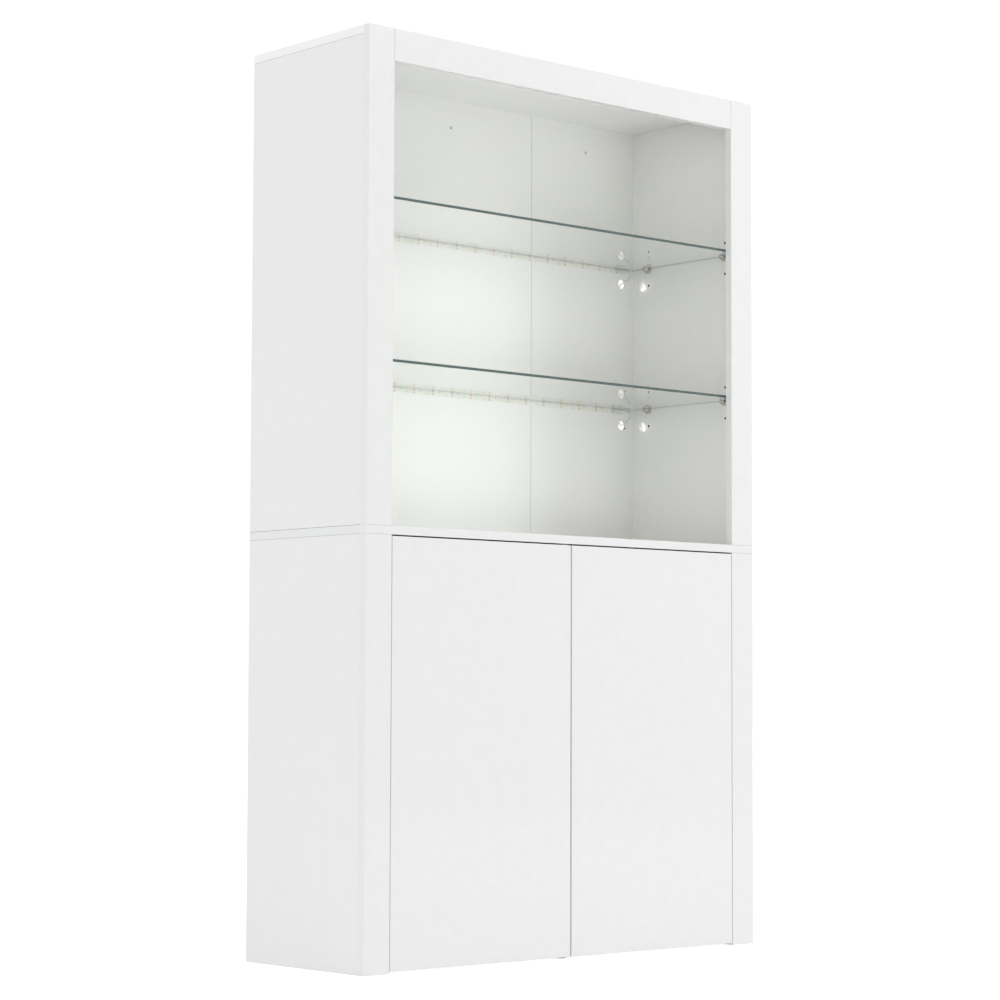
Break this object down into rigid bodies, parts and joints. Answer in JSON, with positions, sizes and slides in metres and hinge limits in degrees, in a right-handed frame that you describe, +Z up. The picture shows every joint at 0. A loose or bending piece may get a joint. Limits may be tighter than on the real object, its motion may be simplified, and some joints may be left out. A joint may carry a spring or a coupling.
{
  "type": "curio cabinet",
  "caption": "Tall white display cabinet with open glass shelves and LED strips above a cupboard with push-to-open doors.",
  "frame": {"origin": "on the floor, at the centre of the cabinet's footprint", "axes": "+X to the viewer's right, +Y to the rear, so the doors face -Y, +Z up"},
  "size_m": [1.01, 0.35, 1.716],
  "materials": {
    "gloss_front": "high-gloss white lacquered board fronts",
    "white_panel": "white lacquered particle board, satin",
    "back_panel": "white thin back board",
    "rear_joinery": "plain wood rail and strips",
    "dowel_wood": "beech dowels",
    "shelf_glass": "clear float glass, green polished edges",
    "support_metal": "nickel-plated die cast",
    "clear_pad": "clear anti-slip pad",
    "led_tape": "white flexible LED tape",
    "led_chip": "LED chip",
    "copper": "tinned copper solder pads",
    "clear_sleeve": "translucent end sleeve",
    "white_lead": "thin white two-core lead",
    "white_plastic": "moulded white plastic",
    "driver_plastic": "moulded white plastic housing",
    "inlet_black": "black mains inlet",
    "glide_black": "black plastic glide",
    "hinge_steel": "nickel-plated steel",
    "zinc_steel": "zinc-plated steel",
    "latch_grey": "grey moulded plastic"
  },
  "bodies": {
    "cabinet": {"back_joint_strips": "rear_joinery", "back_panel_nails": "zinc_steel", "back_rail_screws": "zinc_steel", "cam_bolts": "zinc_steel", "cam_locks": "zinc_steel", "cupboard_shelf_left": "white_panel", "cupboard_shelf_pegs": "support_metal", "cupboard_shelf_right": "white_panel", "dowels": "dowel_wood", "driver_mains_inlet": "inlet_black", "floor_glides": "glide_black", "glass_shelf_lower": "shelf_glass", "glass_shelf_supports": "support_metal", "glass_shelf_upper": "shelf_glass", "hinge_arms": "hinge_steel", "hinge_batten_left": "white_panel", "hinge_batten_right": "white_panel", "hinge_plates": "hinge_steel", "latch_housings": "latch_grey", "lead_clips": "white_plastic", "led_chips": "led_chip", "led_copper_pads": "copper", "led_driver": "driver_plastic", "led_lead_lower": "white_lead", "led_lead_upper": "white_lead", "led_strip_lower": "led_tape", "led_strip_sleeves": "clear_sleeve", "led_strip_upper": "led_tape", "lower_back_left": "back_panel", "lower_back_right": "back_panel", "lower_bottom": "white_panel", "lower_partition": "white_panel", "lower_post_left": "gloss_front", "lower_post_right": "gloss_front", "lower_side_left": "white_panel", "lower_side_right": "white_panel", "lower_top": "white_panel", "rear_rail": "rear_joinery", "small_screws": "zinc_steel", "support_pads": "clear_pad", "top_panel_screws": "zinc_steel", "upper_back_centre": "back_panel", "upper_back_left": "back_panel", "upper_back_right": "back_panel", "upper_post_left": "gloss_front", "upper_post_right": "gloss_front", "upper_rail": "gloss_front", "upper_side_left": "white_panel", "upper_side_right": "white_panel", "upper_top": "white_panel"},
    "left_door": {"left_door_panel": "gloss_front", "left_hinge_cups": "hinge_steel", "left_strike_plate": "zinc_steel"},
    "right_door": {"right_door_panel": "gloss_front", "right_hinge_cups": "hinge_steel", "right_strike_plate": "zinc_steel"},
    "left_hinge_link": {"left_hinge_links": "hinge_steel"},
    "right_hinge_link": {"right_hinge_links": "hinge_steel"},
    "left_latch": {"left_latch_plunger": "zinc_steel"},
    "right_latch": {"right_latch_plunger": "zinc_steel"}
  },
  "joints": [
    {"name": "left_door_hinge", "type": "hinge", "parent": "cabinet", "child": "left_door", "pos_m": [-0.44425, -0.175, 0.395], "axis": [0, 0, -1], "range_deg": [0, 92]},
    {"name": "left_link_pivot", "type": "hinge", "parent": "cabinet", "child": "left_hinge_link", "pos_m": [-0.44251, -0.15599, 0.395], "axis": [0, 0, -1], "range_deg": [0, 50]},
    {"name": "left_latch_slide", "type": "slide", "parent": "cabinet", "child": "left_latch", "axis": [0, -1, 0], "range_m": [0, 0.01]},
    {"name": "right_door_hinge", "type": "hinge", "parent": "cabinet", "child": "right_door", "pos_m": [0.44425, -0.175, 0.395], "axis": [0, 0, 1], "range_deg": [0, 92]},
    {"name": "right_link_pivot", "type": "hinge", "parent": "cabinet", "child": "right_hinge_link", "pos_m": [0.44251, -0.15599, 0.395], "axis": [0, 0, 1], "range_deg": [0, 50]},
    {"name": "right_latch_slide", "type": "slide", "parent": "cabinet", "child": "right_latch", "axis": [0, -1, 0], "range_m": [0, 0.01]}
  ],
  "couplings": [
    {"joint": "left_link_pivot", "follows": "left_door_hinge", "ratio": 0.54},
    {"joint": "left_latch_slide", "follows": "left_door_hinge", "m_per_rad": 0.006227},
    {"joint": "right_link_pivot", "follows": "right_door_hinge", "ratio": 0.54},
    {"joint": "right_latch_slide", "follows": "right_door_hinge", "m_per_rad": 0.006227}
  ]
}
